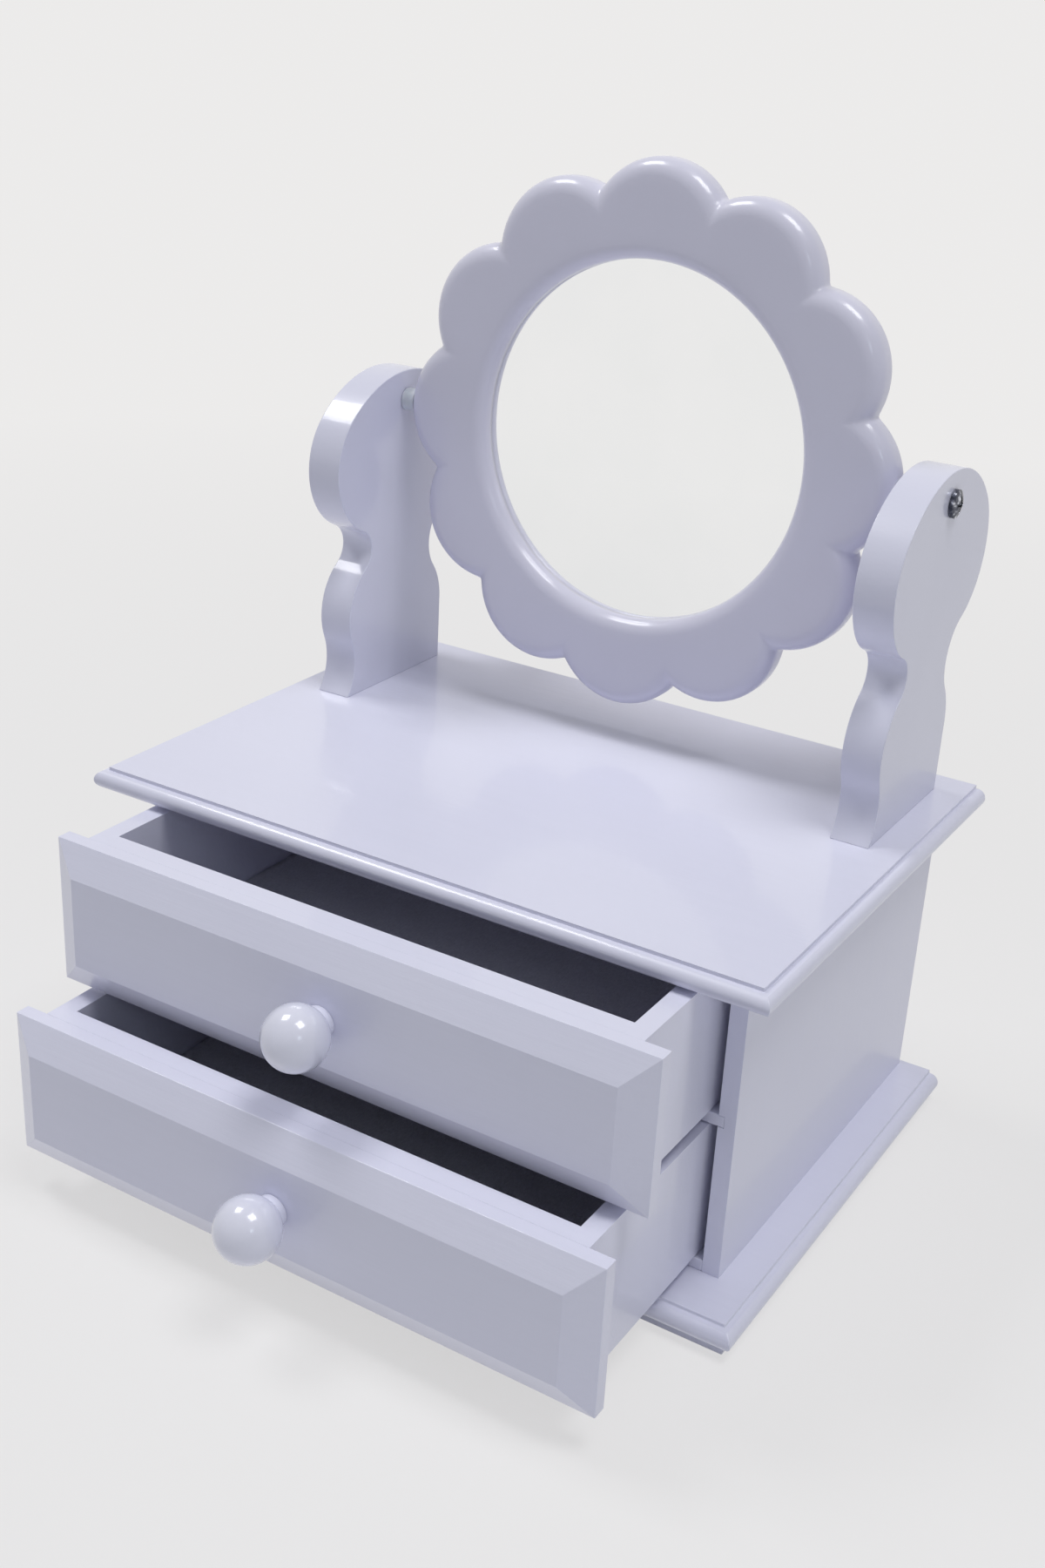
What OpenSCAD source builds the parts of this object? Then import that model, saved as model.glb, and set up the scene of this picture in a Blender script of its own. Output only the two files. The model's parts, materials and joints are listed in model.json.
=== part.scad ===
// Vanity box with two drawers and a scalloped mirror that tilts between two posts.
// Frame: origin at the middle of the base's underside, +Z up, drawers open towards -Y.

/* [Cabinet] */
// Width of the top and base boards over their moulded edges
board_w = 300; // [260:1:360]
// Depth of the top and base boards, front nose to back edge
board_d = 211; // [190:1:250]
// Thickness of the top board
top_t = 9; // [8:0.5:14]
// Thickness of the base board
base_t = 14; // [12:0.5:20]
// Height of the recessed strip under the base board's nose
base_strip = 4.5; // [3:0.5:6]
// Step between a board's flat face and its nose
nose_step = 1.5; // [1:0.1:2.5]
// How far the nose stands out past the flat face
nose_out = 4.5; // [3.5:0.1:7]
// How far the boards stand out past each side panel
side_inset = 18; // [10:1:26]
// How far the boards stand out past the side panels' front edges
front_inset = 26; // [16:1:36]
// How far the cabinet's back stands in from the boards' back edge
back_inset = 3; // [1:0.5:6]
// Thickness of the side panels
side_t = 7; // [6:0.5:10]
// Thickness of the cabinet floor and of the drawer divider
shelf_t = 5; // [4:0.5:6]
// Depth of the housings that hold the floor and the divider in the sides
housing = 2.5; // [1.5:0.5:3.5]
// Thickness of the back panel
back_t = 4; // [3:0.5:6]
// Width of the rebate that holds the back panel in each side
back_lap = 3.5; // [2:0.5:4]

/* [Drawers] */
// Height of a drawer face
face_h = 62; // [56:1:76]
// How much narrower a face is than the cabinet
face_margin = 1; // [0.5:0.5:3]
// Gap between the two faces
face_gap = 3; // [2:0.5:5]
// Thickness of a face at its raised middle
face_t = 12.5; // [10:0.5:15]
// Thickness of a face at its bevelled rim
face_rim_t = 6; // [5:0.5:7]
// Width of the bevel round a face
bevel_w = 12; // [8:1:18]
// Space behind a closed drawer
box_back_gap = 10; // [4:1:40]
// Thickness of the drawer box walls
wall_t = 8; // [7:0.5:10]
// Gap between a drawer box and each side panel
box_gap = 3.5; // [1:0.5:5]
// Thickness of a drawer's bottom panel
bottom_t = 4; // [3:0.5:5]
// Depth of the grooves that hold the bottom panel
groove = 3; // [2:0.5:4]
// Height of the bottom panel over the underside of the box walls
bottom_lift = 4; // [3:0.5:6]
// Thickness of the felt lining
felt_t = 1.5; // [1:0.1:2.5]
// Gap between the felt and the walls
felt_gap = 0.5; // [0.3:0.1:1.5]
// Gap under a drawer box and over the lower one
run_gap = 0.6; // [0.4:0.1:0.8]
// Gap over the upper drawer
top_gap = 1.5; // [1:0.5:3]
// Gap between a closed face and the cabinet front
stop_gap = 0.5; // [0.3:0.1:1]
// How far the upper drawer stands open
upper_open = 58; // [0:1:120]
// How far the lower drawer stands open
lower_open = 85; // [0:1:120]

/* [Knobs] */
// Diameter of the ball of a knob
knob_d = 25; // [22:1:28]
// Distance from the face to the middle of the ball
knob_reach = 14; // [13:0.5:20]
// Diameter of a knob's neck
neck_d = 13; // [11:1:16]
// Diameter of a knob's screw
knob_screw_d = 4; // [3:0.5:5]
// How deep the screw goes into the knob
knob_screw_in = 12; // [9:0.5:14]

/* [Posts] */
// Thickness of a post
post_t = 16; // [14:1:20]
// Radius of the cheeks, the rounds at the front and back of a post's head
cheek_r = 30; // [28:1:32]
// Distance between the middles of the two cheeks
cheek_gap = 38; // [34:1:42]
// Height of the cheeks' middles over the top board
cheek_z = 102; // [100:1:106]
// How far the crown of the head stands above the cheeks
crown_rise = 8; // [6:0.5:10]
// Distance of the head's middle from the boards' back edge
head_in = 45; // [42:1:48]
// Distance between the waist's narrowest front and back points
waist_w = 44.5; // [42:0.5:47]
// Distance of the waist's back point from the boards' back edge
waist_in = 25; // [23:0.5:27]
// Radius of the hollow at the front of the waist
front_hollow_r = 10; // [8:1:12]
// Radius of the hollow at the back of the waist
back_hollow_r = 18; // [16:1:20]
// Radius of the swell under the waist
swell_r = 27; // [25:1:29]
// How far the swell stands out past the waist at the front
swell_out = 15.5; // [14:0.5:17]
// How far the swell stands out past the waist at the back
back_swell_out = 10; // [8:0.5:12]
// Radius of the cove between swell and foot
cove_r = 24; // [22:0.5:26]
// How far the cove cuts in behind the swell
cove_in = 4; // [3:0.5:6]

/* [Mirror] */
// Radius of the frame over its lobe tips
frame_r = 111; // [107:0.5:114]
// Radius of one lobe
lobe_r = 31; // [29:1:35]
// Number of lobes round the frame, in steps that keep one on each pivot
lobes = 12; // [10:2:14]
// Thickness of the frame
frame_t = 16; // [14:1:20]
// Radius at which the frame's front begins to fall away to the lobe tips
rim_r = 96; // [93:1:100]
// Rounding of the frame's front from there to the tips
rim_round = 28; // [25:1:34]
// Radius of the opening in the frame
hole_r = 72.5; // [66:0.5:75]
// Rounding of the opening's front edge
hole_round = 6; // [4:0.5:7]
// Thickness of the mirror glass
glass_t = 4; // [3:0.5:5]
// Thickness of the backing disc
backing_t = 4; // [3:0.5:5]
// How far the glass is covered by the frame all round
glass_lap = 5; // [3:0.5:7]
// Gap round the glass and the backing in their rebate
glass_gap = 0.5; // [0.3:0.1:1]
// Height of the pivots over the top board
pivot_z = 127.5; // [120:0.5:131]
// Lean of the mirror, top towards the back
lean = 2; // [-20:1:20]

/* [Fastenings] */
// Diameter of a pivot screw
pivot_d = 5; // [4:0.5:6]
// Wood left between the tip of a pivot screw and the glass
pivot_tip = 8; // [4:0.5:12]
// Diameter of a pivot screw's head
pivot_head_d = 11; // [9:0.5:13]
// Height of a pivot screw's head
pivot_head_h = 3; // [2:0.5:4]
// Running gap round a pivot screw in its post
pivot_gap = 0.06; // [0.02:0.01:0.1]
// Gap between parts that turn past each other face to face
turn_gap = 0.2; // [0.2:0.1:0.5]
// Diameter of the spacer between frame and post
spacer_d = 10; // [9:0.5:11]
// Length of that spacer
spacer_t = 6; // [4:0.5:9]
// Depth of the flat that a spacer sits on, cut in the lobe at each pivot
flat_in = 0.7; // [0.6:0.1:1.2]
// Diameter of the screws under the posts
post_screw_d = 4; // [3:0.5:5]
// Length of the screws under the posts
post_screw_l = 28; // [20:1:34]
// Diameter of the heads of the screws under the posts
post_head_d = 8; // [7:0.5:10]
// Height of the heads of the screws under the posts
post_head_h = 3; // [2:0.5:4]
// Distance between the two screws of a post
post_screw_pitch = 34; // [24:1:38]
// Diameter of the dowels in the cabinet
dowel_d = 4; // [3:0.5:4.5]
// Depth of a dowel in a board
dowel_board = 6; // [4:0.5:6.5]
// Depth of a dowel in a side panel
dowel_side = 12; // [8:1:20]
// Distance of the dowels from the front and back of a side panel
dowel_in = 35; // [20:1:60]
// Diameter of the pins in the drawers and the back panel
pin_d = 1.6; // [1.2:0.1:2]
// Length of the pins
pin_l = 20; // [16:1:26]
// Length of a backing clip between the middles of its round ends
clip_l = 14; // [10:1:18]
// Width of a backing clip
clip_w = 8; // [6:0.5:10]
// Thickness of a backing clip
clip_t = 1.2; // [0.8:0.1:2]
// Diameter of a clip's screw
clip_screw_d = 2.5; // [2:0.5:3]
// Depth of a clip's screw in the frame
clip_screw_l = 7; // [5:0.5:9]
// Length of the cross slots in a pivot screw
slot_l = 6; // [4:0.5:7]
// Width of the cross slots in a pivot screw
slot_w = 1.2; // [0.8:0.1:1.6]
// Depth of the cross slots in a pivot screw
slot_d = 1.2; // [0.8:0.1:1.6]
// Gap round pins, dowels and screws in their holes
hole_gap = 0.05; // [0.03:0.01:0.1]

/* [Hidden] */
$fn = 96;
eps = 0.01;
overlap = 0.002;
white = [0.90, 0.91, 0.95];
steel = [0.55, 0.56, 0.58];
dark_steel = [0.20, 0.20, 0.22];
felt_grey = [0.17, 0.16, 0.20];
beech = [0.78, 0.66, 0.48];
silver = [0.85, 0.88, 0.90];
body_w = board_w - 2 * side_inset;
body_d = board_d - front_inset - back_inset;
board_back = board_d / 2;
side_back = board_back - back_inset;
side_front = side_back - body_d;
shelf_back = side_back - back_t;
bay_w = body_w - 2 * side_t;
pitch = face_h + face_gap;
box_h = pitch - shelf_t - 2 * run_gap;
lower_z = base_t + shelf_t + run_gap;
upper_z = lower_z + pitch;
divider_top = upper_z - run_gap;
top_z = upper_z + box_h + top_gap;
deck_z = top_z + top_t;
inner_h = top_z - base_t;
face_w = body_w - face_margin;
face_low = box_h - face_h;
box_w = bay_w - 2 * box_gap;
box_l = body_d - back_t - box_back_gap + stop_gap;
inside_w = box_w - 2 * wall_t;
inside_l = box_l - 2 * wall_t;
knob_z = box_h - face_h / 2;
pivot_y = board_back - head_in;
pivot_height = deck_z + pivot_z;
flat_x = frame_r - flat_in;
post_x = flat_x + spacer_t + turn_gap;
post_mid = post_x + post_t / 2;
lobe_c = frame_r - lobe_r;
rebate_r = hole_r + glass_lap;
pivot_in = flat_x - rebate_r - pivot_tip;
rebate_d = glass_t + backing_t;

// Shared shapes

// A board's section: a flat body with a round nose, moulded at -u and, if both is set, also at +u.
module moulded_section(len, t, strip, both) {
    nose_r = (t - nose_step - strip) / 2;
    far = both ? len / 2 - nose_out : len / 2;
    far_nose = both ? len / 2 - nose_r : len / 2;
    translate([-len / 2 + nose_out, 0]) square([far + len / 2 - nose_out, t]);
    translate([-len / 2 + nose_r, strip]) square([far_nose + len / 2 - nose_r, 2 * nose_r]);
    translate([-len / 2 + nose_r, strip + nose_r]) circle(nose_r);
    if (both) translate([len / 2 - nose_r, strip + nose_r]) circle(nose_r);
}

// A board moulded along its front and both ends, with mitred corners and a plain back.
module moulded_board(t, strip) {
    intersection() {
        translate([0, board_d / 2, 0]) rotate([90, 0, 0]) linear_extrude(board_d)
            moulded_section(board_w, t, strip, true);
        translate([-board_w / 2, 0, 0]) rotate([90, 0, 90]) linear_extrude(board_w)
            moulded_section(board_d, t, strip, false);
    }
}

// A hole or peg along +X or +Y.
module along_x(d, len) { rotate([0, 90, 0]) cylinder(d = d, h = len); }
module along_y(d, len) { rotate([-90, 0, 0]) cylinder(d = d, h = len); }

// Left and right copies of what is drawn on the right.
module both_sides() {
    children();
    mirror([1, 0, 0]) children();
}

// Cabinet

module base_board() {
    color(white) difference() {
        moulded_board(base_t, base_strip);
        dowel_places() translate([0, 0, base_t - dowel_board])
            cylinder(d = dowel_d + 2 * hole_gap, h = dowel_board + eps);
    }
}

module top_board() {
    color(white) difference() {
        translate([0, 0, top_z]) moulded_board(top_t, 0);
        dowel_places() translate([0, 0, top_z - eps])
            cylinder(d = dowel_d + 2 * hole_gap, h = dowel_board + eps);
        post_screw_places() {
            translate([0, 0, top_z - eps])
                cylinder(d = post_head_d + 2 * hole_gap, h = post_head_h + eps);
            translate([0, 0, top_z]) cylinder(d = post_screw_d + 2 * hole_gap, h = top_t + eps);
        }
    }
}

// The plan positions of the dowels, two to a side panel.
module dowel_places() {
    both_sides() for (y = [side_front + dowel_in, side_back - dowel_in])
        translate([body_w / 2 - side_t / 2, y, 0]) children();
}

module carcass_dowels() {
    color(beech) dowel_places() {
        translate([0, 0, base_t - dowel_board]) cylinder(d = dowel_d, h = dowel_board + dowel_side);
        translate([0, 0, top_z - dowel_side]) cylinder(d = dowel_d, h = dowel_side + dowel_board);
    }
}

// The right side panel, with a housing for the divider and a rebate for the back panel.
module side_panel() {
    color(white) difference() {
        translate([bay_w / 2, side_front, base_t]) cube([side_t, body_d, inner_h]);
        translate([bay_w / 2 - eps, side_front - eps, divider_top - shelf_t])
            cube([housing + eps, body_d - back_t + eps, shelf_t]);
        translate([bay_w / 2 - eps, shelf_back, base_t - eps])
            cube([back_lap + eps, back_t + eps, inner_h + 2 * eps]);
        dowel_places() for (z = [base_t - eps, top_z - dowel_side])
            translate([0, 0, z]) cylinder(d = dowel_d + 2 * hole_gap, h = dowel_side + eps);
        back_pin_places() along_y(pin_d + 2 * hole_gap, pin_l + eps);
    }
}

module left_side_panel() { mirror([1, 0, 0]) side_panel(); }
module right_side_panel() { side_panel(); }

module cabinet_floor() {
    color(white) translate([-bay_w / 2, side_front, base_t]) cube([bay_w, body_d - back_t, shelf_t]);
}

module drawer_divider() {
    w = bay_w + 2 * housing;
    color(white) translate([-w / 2, side_front, divider_top - shelf_t])
        cube([w, body_d - back_t, shelf_t]);
}

module back_panel() {
    w = bay_w + 2 * back_lap;
    color(white) difference() {
        translate([-w / 2, shelf_back, base_t]) cube([w, back_t, inner_h]);
        back_pin_places() along_y(pin_d + 2 * hole_gap, pin_l + eps);
    }
}

// The inner ends of the back panel's pins, which point at +Y, two over and two under the divider.
module back_pin_places() {
    both_sides() for (i = [0.125:0.25:0.875])
        translate([bay_w / 2 + back_lap / 2, side_back - pin_l, base_t + i * inner_h]) children();
}

module back_panel_pins() { color(steel) back_pin_places() along_y(pin_d, pin_l); }

// Posts

// Middle of a circle of radius r at u that touches, from below, a circle of radius r0 at c0.
// The two overlap by a hair, because circles that only touch have no clean crossing.
function below(c0, r0, u, r) = [u, c0[1] - sqrt(pow(r0 + r - overlap, 2) - pow(u - c0[0], 2))];

// A post seen from its side: u runs back from the boards' back edge, v up from the top board.
// Every round and hollow touches its neighbours, so the outline runs smoothly from one to the next.
module post_outline() {
    back_waist = -waist_in;
    front_waist = -waist_in - waist_w;
    front_cheek = [-head_in - cheek_gap / 2, cheek_z];
    back_cheek = [-head_in + cheek_gap / 2, cheek_z];
    front_hollow = below(front_cheek, cheek_r, front_waist - front_hollow_r, front_hollow_r);
    front_swell = below(front_hollow, front_hollow_r, front_waist - swell_out + swell_r, swell_r);
    cove = below(front_swell, swell_r, front_waist - swell_out + cove_in - cove_r, cove_r);
    back_hollow = below(back_cheek, cheek_r, back_waist + back_hollow_r, back_hollow_r);
    back_swell = below(back_hollow, back_hollow_r, back_waist + back_swell_out - swell_r, swell_r);
    heel = back_swell[0] + swell_r;
    difference() {
        union() {
            polygon([[heel, 0], [heel, back_swell[1]], back_swell, back_hollow, back_cheek,
                     front_cheek, front_hollow, front_swell, cove, [cove[0], 0]]);
            head_crown();
            for (c = [front_cheek, back_cheek]) translate(c) circle(cheek_r);
            for (c = [front_swell, back_swell]) translate(c) circle(swell_r);
        }
        translate(front_hollow) circle(front_hollow_r);
        translate(back_hollow) circle(back_hollow_r);
        translate(cove) circle(cove_r);
    }
}

// The top of a post's head: a flat arc that meets both cheeks without a kink.
module head_crown() {
    half = cheek_gap / 2;
    drop = (pow(half, 2) - pow(crown_rise, 2)) / (2 * crown_rise);
    crown_r = cheek_r + crown_rise + drop - overlap;
    reach = crown_r / drop;
    translate([-head_in, cheek_z - drop]) intersection() {
        circle(crown_r);
        polygon([[0, 0], [half, drop] * reach, [-half, drop] * reach]);
    }
}

// The right post, with its pivot hole and the two screw holes in its foot.
module post() {
    color(white) difference() {
        translate([post_x, board_back, deck_z]) rotate([90, 0, 90]) linear_extrude(post_t)
            post_outline();
        translate([post_x - eps, pivot_y, pivot_height])
            along_x(pivot_d + 2 * pivot_gap, post_t + 2 * eps);
        post_screw_places() translate([0, 0, deck_z - eps])
            cylinder(d = post_screw_d + 2 * hole_gap, h = post_screw_tip() - deck_z + eps);
    }
}

module left_post() { mirror([1, 0, 0]) post(); }
module right_post() { post(); }

function post_screw_tip() = top_z + post_head_h + post_screw_l;

// The plan positions of the screws under the posts.
module post_screw_places() {
    both_sides() for (i = [-0.5, 0.5])
        translate([post_mid, pivot_y + i * post_screw_pitch, 0]) children();
}

module post_screws() {
    color(steel) post_screw_places() {
        translate([0, 0, top_z]) cylinder(d = post_head_d, h = post_head_h);
        translate([0, 0, top_z]) cylinder(d = post_screw_d, h = post_screw_tip() - top_z);
    }
}

// Drawers: y runs back from the back of the face, z up from the underside of the box

module in_drawer(z, open) { translate([0, side_front - stop_gap - open, z]) children(); }
module in_upper() { in_drawer(upper_z, upper_open) children(); }
module in_lower() { in_drawer(lower_z, lower_open) children(); }

// A face whose rim is bevelled on all four sides, mitred at the corners.
module drawer_face() {
    color(white) difference() {
        intersection() {
            translate([-face_w / 2, 0, face_low]) rotate([90, 0, 90]) linear_extrude(face_w)
                bevelled(face_h);
            translate([face_w / 2, 0, face_low]) rotate([0, 0, 90]) linear_extrude(face_h)
                bevelled(face_w);
        }
        knob_screw_hole();
    }
}

// Section of a face: u is depth, 0 at the back, v runs across it.
module bevelled(len) {
    polygon([[0, 0], [-face_rim_t, 0], [-face_t, bevel_w],
             [-face_t, len - bevel_w], [-face_rim_t, len], [0, len]]);
}

module knob_screw_hole() {
    translate([0, -face_t - eps, knob_z])
        along_y(knob_screw_d + 2 * hole_gap, face_t + wall_t + 2 * eps);
}

// The bottom panel, which is also what the grooves take out of the walls.
module bottom_panel() {
    translate([-inside_w / 2 - groove, wall_t - groove, bottom_lift])
        cube([inside_w + 2 * groove, inside_l + 2 * groove, bottom_t]);
}

module drawer_front() {
    color(white) difference() {
        translate([-inside_w / 2, 0, 0]) cube([inside_w, wall_t, box_h]);
        bottom_panel();
        knob_screw_hole();
        drawer_pin_places() along_x(pin_d + 2 * hole_gap, pin_l + eps);
    }
}

module drawer_back() {
    color(white) difference() {
        translate([-inside_w / 2, box_l - wall_t, 0]) cube([inside_w, wall_t, box_h]);
        bottom_panel();
        drawer_pin_places() along_x(pin_d + 2 * hole_gap, pin_l + eps);
    }
}

module drawer_side() {
    color(white) difference() {
        translate([inside_w / 2, 0, 0]) cube([wall_t, box_l, box_h]);
        bottom_panel();
        drawer_pin_places() along_x(pin_d + 2 * hole_gap, pin_l + eps);
    }
}

module drawer_bottom() { color(white) bottom_panel(); }

module drawer_felt() {
    color(felt_grey) translate([-inside_w / 2 + felt_gap, wall_t + felt_gap, bottom_lift + bottom_t])
        cube([inside_w - 2 * felt_gap, inside_l - 2 * felt_gap, felt_t]);
}

// The inner ends of a drawer's corner pins, which point away from the middle.
module drawer_pin_places() {
    low = bottom_lift + bottom_t;
    both_sides() for (y = [wall_t / 2, box_l - wall_t / 2], i = [0.25, 0.75])
        translate([box_w / 2 - pin_l, y, low + i * (box_h - low)]) children();
}

module drawer_pins() { color(steel) drawer_pin_places() along_x(pin_d, pin_l); }

module drawer_knob() {
    color(white) translate([0, -face_t, knob_z]) rotate([90, 0, 0]) difference() {
        union() {
            cylinder(d = neck_d, h = knob_reach);
            translate([0, 0, knob_reach]) sphere(d = knob_d);
        }
        translate([0, 0, -eps]) cylinder(d = knob_screw_d + 2 * hole_gap, h = knob_screw_in + eps);
    }
}

module drawer_knob_screw() {
    color(steel) translate([0, 0, knob_z]) {
        translate([0, -face_t - knob_screw_in, 0])
            along_y(knob_screw_d, knob_screw_in + face_t + wall_t);
        translate([0, wall_t, 0]) along_y(2 * knob_screw_d, knob_screw_d / 2);
    }
}

module upper_drawer_face() { in_upper() drawer_face(); }
module upper_drawer_front() { in_upper() drawer_front(); }
module upper_drawer_left_side() { in_upper() mirror([1, 0, 0]) drawer_side(); }
module upper_drawer_right_side() { in_upper() drawer_side(); }
module upper_drawer_back() { in_upper() drawer_back(); }
module upper_drawer_bottom() { in_upper() drawer_bottom(); }
module upper_drawer_felt() { in_upper() drawer_felt(); }
module upper_drawer_pins() { in_upper() drawer_pins(); }
module upper_drawer_knob() { in_upper() drawer_knob(); }
module upper_drawer_knob_screw() { in_upper() drawer_knob_screw(); }
module lower_drawer_face() { in_lower() drawer_face(); }
module lower_drawer_front() { in_lower() drawer_front(); }
module lower_drawer_left_side() { in_lower() mirror([1, 0, 0]) drawer_side(); }
module lower_drawer_right_side() { in_lower() drawer_side(); }
module lower_drawer_back() { in_lower() drawer_back(); }
module lower_drawer_bottom() { in_lower() drawer_bottom(); }
module lower_drawer_felt() { in_lower() drawer_felt(); }
module lower_drawer_pins() { in_lower() drawer_pins(); }
module lower_drawer_knob() { in_lower() drawer_knob(); }
module lower_drawer_knob_screw() { in_lower() drawer_knob_screw(); }

// Mirror: drawn lying on its back, x across, y up the glass, z towards the viewer, 0 at the frame's back

module in_mirror() {
    translate([0, pivot_y, pivot_height]) rotate([90 - lean, 0, 0])
        translate([0, 0, -frame_t / 2]) children();
}

// A ring of overlapping lobes whose front falls away towards the tips, with a rebate behind its opening.
module mirror_frame() {
    color(white) in_mirror() difference() {
        intersection() {
            linear_extrude(frame_t) for (i = [0:lobes - 1]) rotate(i * 360 / lobes)
                translate([lobe_c, 0]) circle(lobe_r);
            rotate_extrude() rim_section();
        }
        frame_opening();
        translate([0, 0, -eps]) cylinder(r = rebate_r, h = rebate_d + eps);
        both_sides() translate([flat_x, -lobe_r, -eps]) cube([lobe_r, 2 * lobe_r, frame_t + 2 * eps]);
        both_sides() translate([flat_x - pivot_in, 0, frame_t / 2])
            along_x(pivot_d + 2 * hole_gap, pivot_in + eps);
        clip_places() translate([clip_screw_r(), 0, -eps])
            cylinder(d = clip_screw_d + 2 * hole_gap, h = clip_screw_l + eps);
    }
}

// Half section of a disc that is flat in front up to rim_r and rounds off beyond it.
module rim_section() {
    square([rim_r, frame_t]);
    translate([rim_r, frame_t - rim_round]) intersection() {
        circle(rim_round);
        translate([0, rim_round - frame_t]) square([rim_round, frame_t]);
    }
}

// What the opening takes out of the frame: a straight bore that flares in a round at the front.
module frame_opening() {
    rotate_extrude() {
        translate([0, -eps]) square([hole_r, frame_t + 2 * eps]);
        translate([0, frame_t - hole_round]) difference() {
            square([hole_r + hole_round, hole_round + eps]);
            translate([hole_r + hole_round, 0]) circle(hole_round);
        }
    }
}

module mirror_glass() {
    color(silver) in_mirror() translate([0, 0, backing_t])
        cylinder(r = rebate_r - glass_gap, h = glass_t);
}

module mirror_backing() { color(beech) in_mirror() cylinder(r = rebate_r - glass_gap, h = backing_t); }

// The four clips that hold the backing, between lobes.
module clip_places() { for (a = [45:90:315]) rotate([0, 0, a]) children(); }
function clip_screw_r() = rebate_r + clip_l / 2;

module backing_clips() {
    color(steel) in_mirror() clip_places() translate([clip_screw_r(), 0, -clip_t]) difference() {
        union() {
            cylinder(d = clip_w, h = clip_t);
            translate([-clip_l, -clip_w / 2, 0]) cube([clip_l, clip_w, clip_t]);
            translate([-clip_l, 0, 0]) cylinder(d = clip_w, h = clip_t);
        }
        translate([0, 0, -eps]) cylinder(d = clip_screw_d + 2 * hole_gap, h = clip_t + 2 * eps);
    }
}

module backing_clip_screws() {
    color(steel) in_mirror() clip_places() translate([clip_screw_r(), 0, 0]) {
        translate([0, 0, -clip_t]) cylinder(d = clip_screw_d, h = clip_t + clip_screw_l);
        translate([0, 0, -clip_t - clip_screw_d / 2])
            cylinder(d = 2 * clip_screw_d, h = clip_screw_d / 2);
    }
}

// The right pivot screw: its shank runs through the post into the frame.
module pivot_screw() {
    head_x = post_x + post_t + turn_gap;
    color(dark_steel) translate([0, pivot_y, pivot_height]) {
        translate([flat_x - pivot_in, 0, 0]) along_x(pivot_d, head_x - flat_x + pivot_in);
        translate([head_x, 0, 0]) rotate([90 - lean, 0, 0]) rotate([0, 90, 0]) difference() {
            rotate_extrude() pivot_head();
            for (a = [0, 90]) rotate([0, 0, a])
                translate([-slot_l / 2, -slot_w / 2, pivot_head_h - slot_d])
                    cube([slot_l, slot_w, pivot_head_h]);
        }
    }
}

// Half section of a domed screw head.
module pivot_head() {
    rise = pivot_head_h / 2;
    dome_r = (pow(pivot_head_d / 2, 2) + pow(rise, 2)) / (2 * rise);
    intersection() {
        square([pivot_head_d / 2, pivot_head_h]);
        translate([0, pivot_head_h - dome_r]) circle(dome_r);
    }
}

module left_pivot_screw() { mirror([1, 0, 0]) pivot_screw(); }
module right_pivot_screw() { pivot_screw(); }

module pivot_spacers() {
    color(steel) both_sides() translate([flat_x, pivot_y, pivot_height]) difference() {
        along_x(spacer_d, spacer_t);
        translate([-eps, 0, 0]) along_x(pivot_d + 2 * hole_gap, spacer_t + 2 * eps);
    }
}

base_board();
top_board();
left_side_panel();
right_side_panel();
cabinet_floor();
drawer_divider();
back_panel();
back_panel_pins();
carcass_dowels();
left_post();
right_post();
post_screws();
upper_drawer_face();
upper_drawer_front();
upper_drawer_left_side();
upper_drawer_right_side();
upper_drawer_back();
upper_drawer_bottom();
upper_drawer_felt();
upper_drawer_pins();
upper_drawer_knob();
upper_drawer_knob_screw();
lower_drawer_face();
lower_drawer_front();
lower_drawer_left_side();
lower_drawer_right_side();
lower_drawer_back();
lower_drawer_bottom();
lower_drawer_felt();
lower_drawer_pins();
lower_drawer_knob();
lower_drawer_knob_screw();
mirror_frame();
mirror_glass();
mirror_backing();
backing_clips();
backing_clip_screws();
left_pivot_screw();
right_pivot_screw();
pivot_spacers();
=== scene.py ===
"""Vanity box with two drawers and a scalloped mirror: paint, cloth, glass, light and camera.

Everything is in metres in the part's own frame: origin at the middle of the base's underside,
+Z up, drawers open towards -Y, +X to the right seen from the front.
"""
import json
from math import pi, radians

import bpy
import numpy as np
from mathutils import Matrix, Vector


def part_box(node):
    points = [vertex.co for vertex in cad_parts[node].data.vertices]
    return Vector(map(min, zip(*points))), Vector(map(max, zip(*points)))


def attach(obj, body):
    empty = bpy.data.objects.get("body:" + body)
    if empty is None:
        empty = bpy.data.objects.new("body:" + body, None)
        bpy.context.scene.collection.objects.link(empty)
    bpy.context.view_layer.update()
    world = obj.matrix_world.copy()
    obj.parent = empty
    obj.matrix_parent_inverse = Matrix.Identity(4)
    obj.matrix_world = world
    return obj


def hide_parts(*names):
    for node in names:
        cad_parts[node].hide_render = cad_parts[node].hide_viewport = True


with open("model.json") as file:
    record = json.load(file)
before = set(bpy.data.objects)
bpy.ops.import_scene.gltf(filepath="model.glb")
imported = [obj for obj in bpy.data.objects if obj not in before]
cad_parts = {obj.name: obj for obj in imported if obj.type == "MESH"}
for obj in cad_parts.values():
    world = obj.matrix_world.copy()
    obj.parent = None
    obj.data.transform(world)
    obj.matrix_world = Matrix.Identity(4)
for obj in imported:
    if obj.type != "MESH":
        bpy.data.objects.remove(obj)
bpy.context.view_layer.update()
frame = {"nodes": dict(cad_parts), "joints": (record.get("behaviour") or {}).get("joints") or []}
nodes = frame["nodes"]

# Cabinet: base, top, two sides, floor, divider and back, of machined wood board glued and
# dowelled up. All of it is sprayed with a cool white semi-gloss paint, which fills the grain,
# leaves a faint orange peel and rounds every edge a little.


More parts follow.
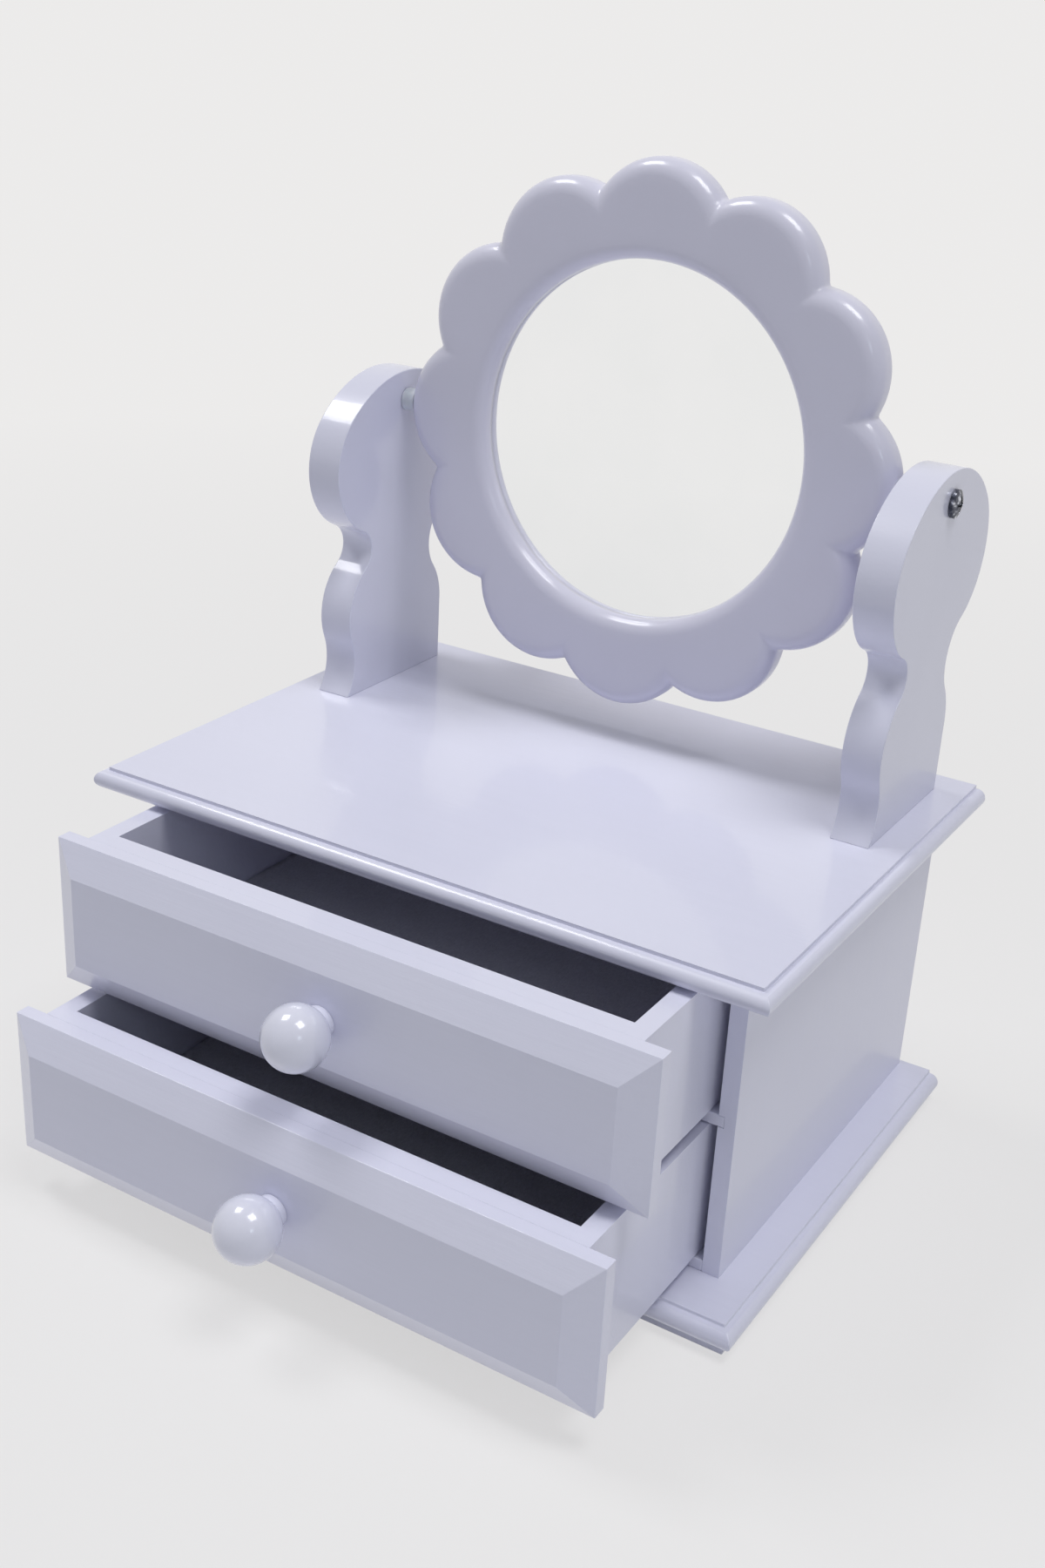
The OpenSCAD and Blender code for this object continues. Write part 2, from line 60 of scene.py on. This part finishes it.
def new_material(name, roughness, **sockets):
    """A node material with one Principled shader; what is the same all over the surface
    goes straight onto the shader's sockets."""
    material = bpy.data.materials.new(name)
    material.use_nodes = True
    shader = material.node_tree.nodes["Principled BSDF"]
    shader.inputs["Roughness"].default_value = roughness
    for socket, value in sockets.items():
        shader.inputs[socket.replace("_", " ")].default_value = value
    return material


def wire(material, **values):
    """Leads values such as a colour or a normal to the shader's sockets of those names."""
    tree = material.node_tree
    for socket, value in values.items():
        tree.links.new(value, tree.nodes["Principled BSDF"].inputs[socket.replace("_", " ")])


def noise_on(material, scale, stretch=(1, 1, 1), detail=4.0, rough=0.5):
    """Fractal noise over Object coordinates: the value at p is noise(scale * stretch * p),
    about 0.5 on average."""
    tree = material.node_tree
    place = tree.nodes.new("ShaderNodeTexCoord")
    mapping = tree.nodes.new("ShaderNodeMapping")
    mapping.inputs["Scale"].default_value = stretch
    noise = tree.nodes.new("ShaderNodeTexNoise")
    noise.inputs["Scale"].default_value = scale
    noise.inputs["Detail"].default_value = detail
    noise.inputs["Roughness"].default_value = rough
    tree.links.new(place.outputs["Object"], mapping.inputs["Vector"])
    tree.links.new(mapping.outputs["Vector"], noise.inputs["Vector"])
    return noise.outputs["Fac"]


def ramp_on(material, value, stops):
    """A colour for each value, straight between the stops (position, (r, g, b))."""
    tree = material.node_tree
    ramp = tree.nodes.new("ShaderNodeValToRGB")
    ramp.color_ramp.elements[0].position = stops[0][0]
    ramp.color_ramp.elements[1].position = stops[-1][0]
    for position, _ in stops[1:-1]:
        ramp.color_ramp.elements.new(position)
    for element, (_, colour) in zip(ramp.color_ramp.elements, stops):
        element.color = (*colour, 1)
    tree.links.new(value, ramp.inputs["Fac"])
    return ramp.outputs["Color"]


def range_on(material, value, low, high, start=0.3, end=0.7):
    """The value's span start..end carried straight onto low..high."""
    tree = material.node_tree
    spread = tree.nodes.new("ShaderNodeMapRange")
    spread.inputs["From Min"].default_value = start
    spread.inputs["From Max"].default_value = end
    spread.inputs["To Min"].default_value = low
    spread.inputs["To Max"].default_value = high
    tree.links.new(value, spread.inputs["Value"])
    return spread.outputs["Result"]


def bump_on(material, *heights):
    """Chained bumps: each (height value, depth in metres) tilts the normal that the one before
    left."""
    tree = material.node_tree
    normal = None
    for value, depth in heights:
        bump = tree.nodes.new("ShaderNodeBump")
        bump.inputs["Strength"].default_value = 1.0
        bump.inputs["Distance"].default_value = depth
        tree.links.new(value, bump.inputs["Height"])
        if normal is not None:
            tree.links.new(normal, bump.inputs["Normal"])
        normal = bump.outputs["Normal"]
    return normal


DRIFT_SCALE, GRAIN_SCALE, PEEL_SCALE = 9, 60, 620
GRAIN_DEPTH, PEEL_DEPTH = 0.0002, 0.00003


def spray_paint(name, colour, shade, roughness, streak, grain=0.55):
    """Sprayed paint: a slow drift between two whites, an orange peel, and the wood's raised grain
    as faint streaks along one way, which shade, roughen and tilt the surface a little. The tone is
    grain times the streaks plus the rest of the drift, and roughness and height follow grain too."""
    material = new_material(name, roughness, Coat_Weight=0.45, Coat_Roughness=0.07,
                            Specular_IOR_Level=0.45)
    drift = noise_on(material, DRIFT_SCALE, detail=3)
    peel = noise_on(material, PEEL_SCALE, detail=2, rough=0.4)
    streaks = noise_on(material, GRAIN_SCALE, stretch=streak, detail=5, rough=0.6)
    tone = material.node_tree.nodes.new("ShaderNodeMath")
    tone.operation = "MULTIPLY_ADD"
    tone.inputs[1].default_value = grain
    material.node_tree.links.new(streaks, tone.inputs[0])
    material.node_tree.links.new(range_on(material, drift, 0, 1 - grain), tone.inputs[2])
    smooth, rough = roughness - 0.1 * grain, roughness + 0.12 * grain
    wire(material,
         Base_Color=ramp_on(material, tone.outputs[0], [(0.15, shade), (0.85, colour)]),
         Roughness=range_on(material, streaks, smooth, rough),
         Normal=bump_on(material, (streaks, GRAIN_DEPTH * grain), (peel, PEEL_DEPTH)))
    return material


def paint(node, material):
    """Gives a node one material in place of the one that it came with."""
    node.data.materials.clear()
    node.data.materials.append(material)


smooth_faces = bpy.data.node_groups.new("smooth_faces", "GeometryNodeTree")
for way in ("INPUT", "OUTPUT"):
    smooth_faces.interface.new_socket("Geometry", in_out=way, socket_type="NodeSocketGeometry")
group_in = smooth_faces.nodes.new("NodeGroupInput")
group_out = smooth_faces.nodes.new("NodeGroupOutput")
drop_normals = smooth_faces.nodes.new("GeometryNodeRemoveAttribute")
drop_normals.inputs["Name"].default_value = "custom_normal"
shade_smooth = smooth_faces.nodes.new("GeometryNodeSetShadeSmooth")
smooth_faces.links.new(group_in.outputs[0], drop_normals.inputs["Geometry"])
smooth_faces.links.new(drop_normals.outputs["Geometry"], shade_smooth.inputs["Geometry"])
smooth_faces.links.new(shade_smooth.outputs["Geometry"], group_out.inputs[0])

JOIN_WITHIN, FLAT_WITHIN = 0.000005, radians(0.4)


def soften(node, width, angle=35):
    """Rounds a node's sharp edges: its triangles are joined into flat faces, edges over the angle,
    in degrees, are rounded to the given width, and normals follow the larger faces."""
    weld = node.modifiers.new("weld", "WELD")
    weld.merge_threshold = JOIN_WITHIN
    flat = node.modifiers.new("flat", "DECIMATE")
    flat.decimate_type = "DISSOLVE"
    flat.angle_limit = FLAT_WITHIN
    bevel = node.modifiers.new("bevel", "BEVEL")
    bevel.width = width
    bevel.segments = 3
    bevel.limit_method = "ANGLE"
    bevel.angle_limit = radians(angle)
    bevel.use_clamp_overlap = True
    smooth = node.modifiers.new("smooth", "NODES")
    smooth.node_group = smooth_faces
    weighted = node.modifiers.new("weighted", "WEIGHTED_NORMAL")
    weighted.weight = 80


PAINT, PAINT_SHADE = (0.785, 0.79, 0.925), (0.75, 0.755, 0.895)
GRAIN_ALONG, GRAIN_UP = (0.25, 6, 6), (6, 6, 0.4)
BOARD_EDGE = 0.0006
board_paint = spray_paint("board_paint", PAINT, PAINT_SHADE, 0.34, GRAIN_ALONG)
upright_paint = spray_paint("upright_paint", PAINT, PAINT_SHADE, 0.36, GRAIN_UP)
for name in ("base_board", "top_board", "cabinet_floor", "drawer_divider"):
    paint(nodes[name], board_paint)
    soften(nodes[name], BOARD_EDGE)
for name in ("left_side_panel", "right_side_panel", "back_panel"):
    paint(nodes[name], upright_paint)
    soften(nodes[name], BOARD_EDGE)

# Hidden fixings of the cabinet: beech dowels between sides and boards, steel pins through the
# back panel, and plain steel screws that come up through the top board into the posts.
BEECH, BEECH_VEIN = (0.70, 0.52, 0.33), (0.50, 0.33, 0.18)
bare_beech = new_material("bare_beech", 0.6)
beech_grain = noise_on(bare_beech, 240, stretch=(1, 1, 0.08), detail=5)
wire(bare_beech,
     Base_Color=ramp_on(bare_beech, beech_grain, [(0.3, BEECH_VEIN), (0.7, BEECH)]),
     Normal=bump_on(bare_beech, (beech_grain, 0.0001)))
paint(nodes["carcass_dowels"], bare_beech)


def plated_steel(name, colour, shade, roughness):
    """Turned and plated steel: fine lathe marks across the light, and a slow change of tint."""
    material = new_material(name, roughness, Metallic=1.0)
    marks = noise_on(material, 900, stretch=(1, 0.2, 1), detail=3)
    tint = noise_on(material, 160, detail=3)
    wire(material,
         Base_Color=ramp_on(material, tint, [(0.35, shade), (0.65, colour)]),
         Roughness=range_on(material, marks, roughness - 0.08, roughness + 0.12),
         Normal=bump_on(material, (marks, 0.00002)))
    return material


zinc = plated_steel("zinc_plate", (0.60, 0.61, 0.63), (0.47, 0.48, 0.51), 0.32)
for name in ("back_panel_pins", "post_screws"):
    paint(nodes[name], zinc)

# Posts: two wavy uprights, sawn from board of 16 mm and each held by two screws from below.
# They are filled and sanded before they are painted, glossier than the cabinet, so that hardly any
# grain shows. Their white is set a shade deeper than the cabinet's: painted shade, the same paint
# darkened for the lesser light on them.
POST_PAINT_SHADED, POST_SHADE = (0.735, 0.74, 0.87), (0.70, 0.705, 0.84)
FILLED_GRAIN, FILLED_SHARE = (3, 3, 0.3), 0.03
POST_EDGE = 0.0009
# The posts' material carries the darkened whites, which are painted shade.
post_paint_shaded = spray_paint("post_paint_shaded", POST_PAINT_SHADED, POST_SHADE, 0.27, FILLED_GRAIN, FILLED_SHARE)
for name in ("left_post", "right_post"):
    paint(nodes[name], post_paint_shaded)
    soften(nodes[name], POST_EDGE)

# Drawers: a glued box with pinned corners behind a face whose rim is bevelled on all four sides.
# Both boxes are painted like the cabinet, inside too.
FACE_EDGE, BOX_EDGE, RIM_ANGLE = 0.0016, 0.0007, 10
drawer_paint = spray_paint("drawer_paint", PAINT, PAINT_SHADE, 0.34, GRAIN_ALONG)
for drawer in ("upper_drawer", "lower_drawer"):
    for part in ("face", "front", "left_side", "right_side", "back", "bottom"):
        paint(nodes[f"{drawer}_{part}"], drawer_paint)
        soften(nodes[f"{drawer}_{part}"], FACE_EDGE if part == "face" else BOX_EDGE, RIM_ANGLE)
    paint(nodes[f"{drawer}_pins"], zinc)
    paint(nodes[f"{drawer}_knob_screw"], zinc)

# Knobs: turned wooden balls on a short neck, each held by a screw through the drawer's front.
# They are dipped in a gloss white that has run smooth and shows the lamps.
KNOB_WHITE, KNOB_SHADE = (0.80, 0.808, 0.925), (0.76, 0.768, 0.895)
KNOB_EDGE = 0.0005
knob_gloss = new_material("knob_gloss", 0.2, Coat_Weight=0.6, Coat_Roughness=0.06)
knob_drift = noise_on(knob_gloss, 30, detail=2)
knob_peel = noise_on(knob_gloss, 260, detail=1)
wire(knob_gloss,
     Base_Color=ramp_on(knob_gloss, knob_drift, [(0.3, KNOB_SHADE), (0.7, KNOB_WHITE)]),
     Normal=bump_on(knob_gloss, (knob_peel, PEEL_DEPTH)))
for name in ("upper_drawer_knob", "lower_drawer_knob"):
    paint(nodes[name], knob_gloss)
    soften(nodes[name], KNOB_EDGE)

# Felt: a pale grey sheet of 1.5 mm laid loose on each drawer's bottom, cut by hand, so that it
# waves a little. Its look is matted fibres: short curls of lighter and darker grey.


def grid_mesh(name, points, closed_u=False, closed_v=False):
    """A mesh of quads over an (n, m, 3) array of points; a closed way joins its last line
    to its first."""
    rows, columns = points.shape[:2]
    index = np.arange(rows * columns).reshape(rows, columns)
    if closed_u:
        index = np.concatenate([index, index[:1]], 0)
    if closed_v:
        index = np.concatenate([index, index[:, :1]], 1)
    corners = [index[:-1, :-1], index[1:, :-1], index[1:, 1:], index[:-1, 1:]]
    mesh = bpy.data.meshes.new(name)
    quads = np.stack(corners, -1).reshape(-1, 4)
    mesh.from_pydata(points.reshape(-1, 3).tolist(), [], quads.tolist())
    mesh.shade_smooth()
    piece = bpy.data.objects.new(name, mesh)
    bpy.context.scene.collection.objects.link(piece)
    return piece


FELT_DARK, FELT_GREY, FELT_LIGHT = (0.46, 0.46, 0.52), (0.60, 0.60, 0.66), (0.74, 0.74, 0.80)
FELT_T, FELT_WAVE, FELT_RIM = 0.0014, 0.0002, 0.06
felt_cloth = new_material("felt_cloth", 0.95, Sheen_Weight=0.35, Sheen_Roughness=0.6,
                          Specular_IOR_Level=0.15)
fibres = noise_on(felt_cloth, 1500, stretch=(1, 0.35, 1), detail=6, rough=0.75)
matting = noise_on(felt_cloth, 140, detail=4)
wire(felt_cloth,
     Base_Color=ramp_on(felt_cloth, fibres, [(0.25, FELT_DARK), (0.5, FELT_GREY), (0.78, FELT_LIGHT)]),
     Normal=bump_on(felt_cloth, (matting, 0.0004), (fibres, 0.0003)))


def felt_sheet(drawer):
    """The sheet over its CAD solid's plan: z = top + waves, two crossed sines that fade to nothing
    at the rim."""
    low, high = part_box(f"{drawer}_felt")
    u, v = np.meshgrid(np.linspace(0, 1, 90), np.linspace(0, 1, 64), indexing="ij")
    inside = np.minimum(np.minimum(u, 1 - u), np.minimum(v, 1 - v))
    rim = np.clip(inside / FELT_RIM, 0, 1)
    waves = FELT_WAVE * rim * (np.sin(11 * u + 4 * v) + np.sin(17 * v - 6 * u + 1.3))
    x = low.x + u * (high.x - low.x)
    y = low.y + v * (high.y - low.y)
    piece = grid_mesh(f"{drawer}_felt_sheet", np.stack([x, y, high.z + waves], -1))
    thick = piece.modifiers.new("thick", "SOLIDIFY")
    thick.thickness = FELT_T
    thick.offset = -1
    paint(piece, felt_cloth)
    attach(piece, drawer)
    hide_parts(f"{drawer}_felt")


for drawer in ("upper_drawer", "lower_drawer"):
    felt_sheet(drawer)

# Mirror frame: a ring of board with twelve lobes cut round it, their edges rounded over in front
# and behind, a softened opening, and a rebate behind for the glass. It is filled, sanded and
# painted like the posts, and hangs on two pivot screws. Its white is darkened a little below even
# the posts' white: painted shade, the same paint made darker for the lesser light on its front.
PIVOT = np.array(next(j["pos_m"] for j in frame["joints"] if j["name"] == "mirror_tilt"))
LEAN = radians(2)
LOBES = 12
LOBE_R, LOBE_C = 0.031, 0.080
FRAME_T, LOBE_ROUND, LOBE_EASE = 0.016, 0.007, 0.005
HOLE_R, HOLE_ROUND = 0.0725, 0.006
REBATE_R, REBATE_D, REBATE_EASE = 0.0775, 0.008, 0.0003
PIVOT_FLAT = 0.1103
CUSP_FILL = 0.0012
# The frame's two whites below are darkened as painted shade.
FRAME_PAINT_SHADED, FRAME_SHADE = (0.71, 0.705, 0.835), (0.68, 0.675, 0.80)


def lobed_edge(angle, inset):
    """Radius of the lobed outline, moved in by inset: the larger of two neighbouring lobes,
    each c cos a + sqrt((r - inset)^2 - (c sin a)^2), blended over a small fill at the cusp."""
    step = 2 * pi / LOBES
    a = (angle + step / 2) % step - step / 2
    near, next_one = (
        LOBE_C * np.cos(b) + np.sqrt(np.maximum((LOBE_R - inset) ** 2 - (LOBE_C * np.sin(b)) ** 2, 0))
        for b in (a, step - np.abs(a)))
    return (near + next_one) / 2 + np.sqrt((near - next_one) ** 2 + CUSP_FILL ** 2) / 2


def frame_ring():
    """The ring's surface: for each angle a closed profile from the rebate over the back, the rounded
    outer edge, the front and the rounded opening, back to the rebate."""
    angle = np.linspace(0, 2 * pi, 720, endpoint=False)
    quarter = np.linspace(0, pi / 2, 9)
    rows = []

    def add(radius, height):
        x, y = radius * np.cos(angle), radius * np.sin(angle)
        rows.append(np.stack([x, y, np.full_like(angle, height)], -1))

    add(REBATE_R, REBATE_D)
    add(REBATE_R, REBATE_EASE)
    add(REBATE_R + REBATE_EASE, 0.0)
    for q in quarter:
        add(lobed_edge(angle, LOBE_EASE * (1 - np.sin(q))), LOBE_EASE * (1 - np.cos(q)))
    for q in quarter:
        add(lobed_edge(angle, LOBE_ROUND * (1 - np.cos(q))), FRAME_T - LOBE_ROUND * (1 - np.sin(q)))
    front = lobed_edge(angle, LOBE_ROUND)
    for share in np.linspace(0.15, 1, 6):
        add(front + share * (HOLE_R + HOLE_ROUND - front), FRAME_T)
    for q in quarter[1:]:
        add(HOLE_R + HOLE_ROUND * (1 - np.sin(q)), FRAME_T - HOLE_ROUND * (1 - np.cos(q)))
    add(HOLE_R, REBATE_D)
    return np.stack(rows[::-1])


def hang(points):
    """From the frame lying on its back to where it hangs: turned up about X by 90 degrees less
    the lean, with the middle of its thickness on the pivots' line."""
    cos, sin = np.cos(pi / 2 - LEAN), np.sin(pi / 2 - LEAN)
    x, y, z = points[..., 0], points[..., 1], points[..., 2] - FRAME_T / 2
    return PIVOT + np.stack([x, y * cos - z * sin, y * sin + z * cos], -1)


ring = frame_ring()
ring[..., 0] = np.clip(ring[..., 0], -PIVOT_FLAT, PIVOT_FLAT)
scalloped_frame = grid_mesh("scalloped_frame", hang(ring), closed_u=True, closed_v=True)
# The frame's material takes the darkened whites, which are painted shade.
frame_paint_shaded = spray_paint("frame_paint_shaded", FRAME_PAINT_SHADED, FRAME_SHADE, 0.28, FILLED_GRAIN, FILLED_SHARE)
paint(scalloped_frame, frame_paint_shaded)
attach(scalloped_frame, "mirror")
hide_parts("mirror_frame")

# Glass: a round of silvered glass of 4 mm, wiped by hand, which leaves faint smears.
# A disc of bare hardboard lies behind it in the rebate, and four turned clips of plated steel
# with a screw each hold both.
SILVER, SILVER_SMEAR = (0.98, 0.985, 0.985), (0.955, 0.965, 0.965)
silvered = new_material("silvered_glass", 0.02, Metallic=1.0)
smears = noise_on(silvered, 28, detail=4)
wire(silvered,
     Base_Color=ramp_on(silvered, smears, [(0.3, SILVER_SMEAR), (0.7, SILVER)]),
     Roughness=range_on(silvered, smears, 0.012, 0.04))
paint(nodes["mirror_glass"], silvered)

CHIP_DARK, CHIP_BROWN, CHIP_LIGHT = (0.17, 0.09, 0.045), (0.30, 0.18, 0.095), (0.42, 0.28, 0.16)
hardboard = new_material("hardboard", 0.62)
pressed = noise_on(hardboard, 420, detail=6, rough=0.7)
clouds = noise_on(hardboard, 40, detail=3)
wire(hardboard,
     Base_Color=ramp_on(hardboard, pressed, [(0.25, CHIP_DARK), (0.5, CHIP_BROWN), (0.75, CHIP_LIGHT)]),
     Roughness=range_on(hardboard, clouds, 0.5, 0.72),
     Normal=bump_on(hardboard, (pressed, 0.00015)))
paint(nodes["mirror_backing"], hardboard)

CLIP_EDGE, CLIP_SCREW_EDGE = 0.0003, 0.0002
paint(nodes["backing_clips"], zinc)
soften(nodes["backing_clips"], CLIP_EDGE)
dull_zinc = plated_steel("dull_zinc", (0.40, 0.40, 0.42), (0.28, 0.28, 0.31), 0.4)
paint(nodes["backing_clip_screws"], dull_zinc)
soften(nodes["backing_clip_screws"], CLIP_SCREW_EDGE)

# Pivots: a cross-head screw on each side, which turns with the mirror in its post, of steel that
# is blackened and worn bright in patches, and a white nylon spacer between frame and post.
BLACK, THIN_BLACK, BRIGHT_STEEL = (0.06, 0.065, 0.085), (0.13, 0.135, 0.165), (0.62, 0.64, 0.70)
PIVOT_SCREW_EDGE, SPACER_EDGE = 0.0003, 0.0004
blackened = new_material("blackened_steel", 0.24, Metallic=1.0)
wear = noise_on(blackened, 380, detail=3)
wire(blackened,
     Base_Color=ramp_on(blackened, wear, [(0.40, BLACK), (0.54, THIN_BLACK), (0.64, BRIGHT_STEEL)]),
     Roughness=range_on(blackened, wear, 0.30, 0.16),
     Normal=bump_on(blackened, (wear, 0.00004)))
for name in ("left_pivot_screw", "right_pivot_screw"):
    paint(nodes[name], blackened)
    soften(nodes[name], PIVOT_SCREW_EDGE)

NYLON_WHITE, NYLON_SHADE = (0.74, 0.75, 0.79), (0.66, 0.67, 0.71)
nylon = new_material("nylon", 0.45, Subsurface_Weight=0.1)
nylon_haze = noise_on(nylon, 300, detail=3)
wire(nylon,
     Base_Color=ramp_on(nylon, nylon_haze, [(0.3, NYLON_SHADE), (0.7, NYLON_WHITE)]),
     Normal=bump_on(nylon, (nylon_haze, 0.00003)))
paint(nodes["pivot_spacers"], nylon)
soften(nodes["pivot_spacers"], SPACER_EDGE)

# Studio: a pale floor that fades into a plain pale background, so that no horizon shows, and keeps
# the soft shadow under the box. Two lamps hang from the ceiling, left and right, and a small cool
# one stands front right.
BACKDROP, FLOOR_WHITE = (0.84, 0.832, 0.828), (0.84, 0.84, 0.85)
FLOOR_R, FADE_FROM, FADE_TO = 5, 0.35, 1.3
FLOOR_GLOW = 0.72
SKY, SKY_STRENGTH = (0.90, 0.925, 1.0), 0.235
radius, turn = np.meshgrid(np.linspace(0.001, FLOOR_R, 40),
                           np.linspace(0, 2 * pi, 96, endpoint=False), indexing="ij")
disc = np.stack([radius * np.cos(turn), radius * np.sin(turn), np.zeros_like(turn)], -1)
floor = grid_mesh("floor", disc, closed_v=True)


def seen_ray(tree):
    """One for rays that show what they meet, straight or in glass and metal, and zero for the
    light's own bounces: the largest of the three kinds' marks."""
    path = tree.nodes.new("ShaderNodeLightPath")
    seen = path.outputs["Is Camera Ray"]
    for kind in ("Is Glossy Ray", "Is Transmission Ray"):
        largest = tree.nodes.new("ShaderNodeMath")
        largest.operation = "MAXIMUM"
        tree.links.new(seen, largest.inputs[0])
        tree.links.new(path.outputs[kind], largest.inputs[1])
        seen = largest.outputs[0]
    return seen


def shader_mix(tree, first, second):
    """A mix of two shaders: first where its factor is zero, second where it is one."""
    mix = tree.nodes.new("ShaderNodeMixShader")
    tree.links.new(first.outputs[0], mix.inputs[1])
    tree.links.new(second.outputs[0], mix.inputs[2])
    return mix


pale_floor = bpy.data.materials.new("pale_floor")
pale_floor.use_nodes = True
tree = pale_floor.node_tree
tree.nodes.remove(tree.nodes["Principled BSDF"])
matt = tree.nodes.new("ShaderNodeBsdfDiffuse")
matt.inputs["Color"].default_value = (*FLOOR_WHITE, 1)
glow = tree.nodes.new("ShaderNodeEmission")
glow.inputs["Color"].default_value = (*BACKDROP, 1)
place = tree.nodes.new("ShaderNodeTexCoord")
distance = tree.nodes.new("ShaderNodeVectorMath")
distance.operation = "LENGTH"
tree.links.new(place.outputs["Object"], distance.inputs[0])
half_glow = shader_mix(tree, matt, glow)
half_glow.inputs["Fac"].default_value = FLOOR_GLOW
faded = shader_mix(tree, half_glow, glow)
fade = range_on(pale_floor, distance.outputs["Value"], 0, 1, FADE_FROM, FADE_TO)
tree.links.new(fade, faded.inputs["Fac"])
shown = shader_mix(tree, matt, faded)
tree.links.new(seen_ray(tree), shown.inputs["Fac"])
tree.links.new(shown.outputs[0], tree.nodes["Material Output"].inputs["Surface"])
paint(floor, pale_floor)

world = bpy.data.worlds.new("studio")
bpy.context.scene.world = world
world.use_nodes = True
tree = world.node_tree
sky = tree.nodes["Background"]
sky.inputs["Color"].default_value = (*SKY, 1)
sky.inputs["Strength"].default_value = SKY_STRENGTH
plain = tree.nodes.new("ShaderNodeBackground")
plain.inputs["Color"].default_value = (*BACKDROP, 1)
shown = shader_mix(tree, sky, plain)
tree.links.new(seen_ray(tree), shown.inputs["Fac"])
tree.links.new(shown.outputs[0], tree.nodes["World Output"].inputs["Surface"])

LAMP_WHITE, LAMP_COOL = (1.0, 1.0, 1.0), (0.78, 0.89, 1.0)
LAMP_AIM = (0, 0, 0.1)


def soft_light(name, size, power, colour, place):
    """A square lamp at place that faces the aim point: tilted from straight down by the angle whose
    tangent is the level distance over the drop, and turned towards the aim."""
    lamp = bpy.data.lights.new(name, "AREA")
    lamp.shape = "SQUARE"
    lamp.size = size
    lamp.energy = power
    lamp.color = colour
    holder = bpy.data.objects.new(name, lamp)
    holder.location = place
    x, y, z = np.subtract(LAMP_AIM, place)
    holder.rotation_euler = (np.arctan2(np.hypot(x, y), -z), 0, np.arctan2(y, x) - pi / 2)
    bpy.context.scene.collection.objects.link(holder)


soft_light("left_ceiling", 0.9, 27.0, LAMP_WHITE, (-1.5, -0.2, 2.7))
soft_light("right_ceiling", 1.1, 34.5, LAMP_WHITE, (1.0, -0.2, 2.95))
soft_light("front_right", 0.35, 1.2, LAMP_COOL, (1.35, -1.1, 1.1))

# Camera: stands front right and a little above the mirror's top, at the photograph's place.
# It is fitted to the box's straight edges and the mirror's circles, with its axis through the
# middle of the picture.
camera_data = bpy.data.cameras.new("camera")
camera_data.sensor_width = 36
camera_data.lens = 42.327
camera = bpy.data.objects.new("camera", camera_data)
camera.location = (0.3447, -0.5966, 0.4594)
camera.rotation_euler = (radians(65.822), radians(-2.761), radians(32.093))
bpy.context.scene.collection.objects.link(camera)
bpy.context.scene.camera = camera
bpy.context.scene.view_settings.view_transform = "Standard"
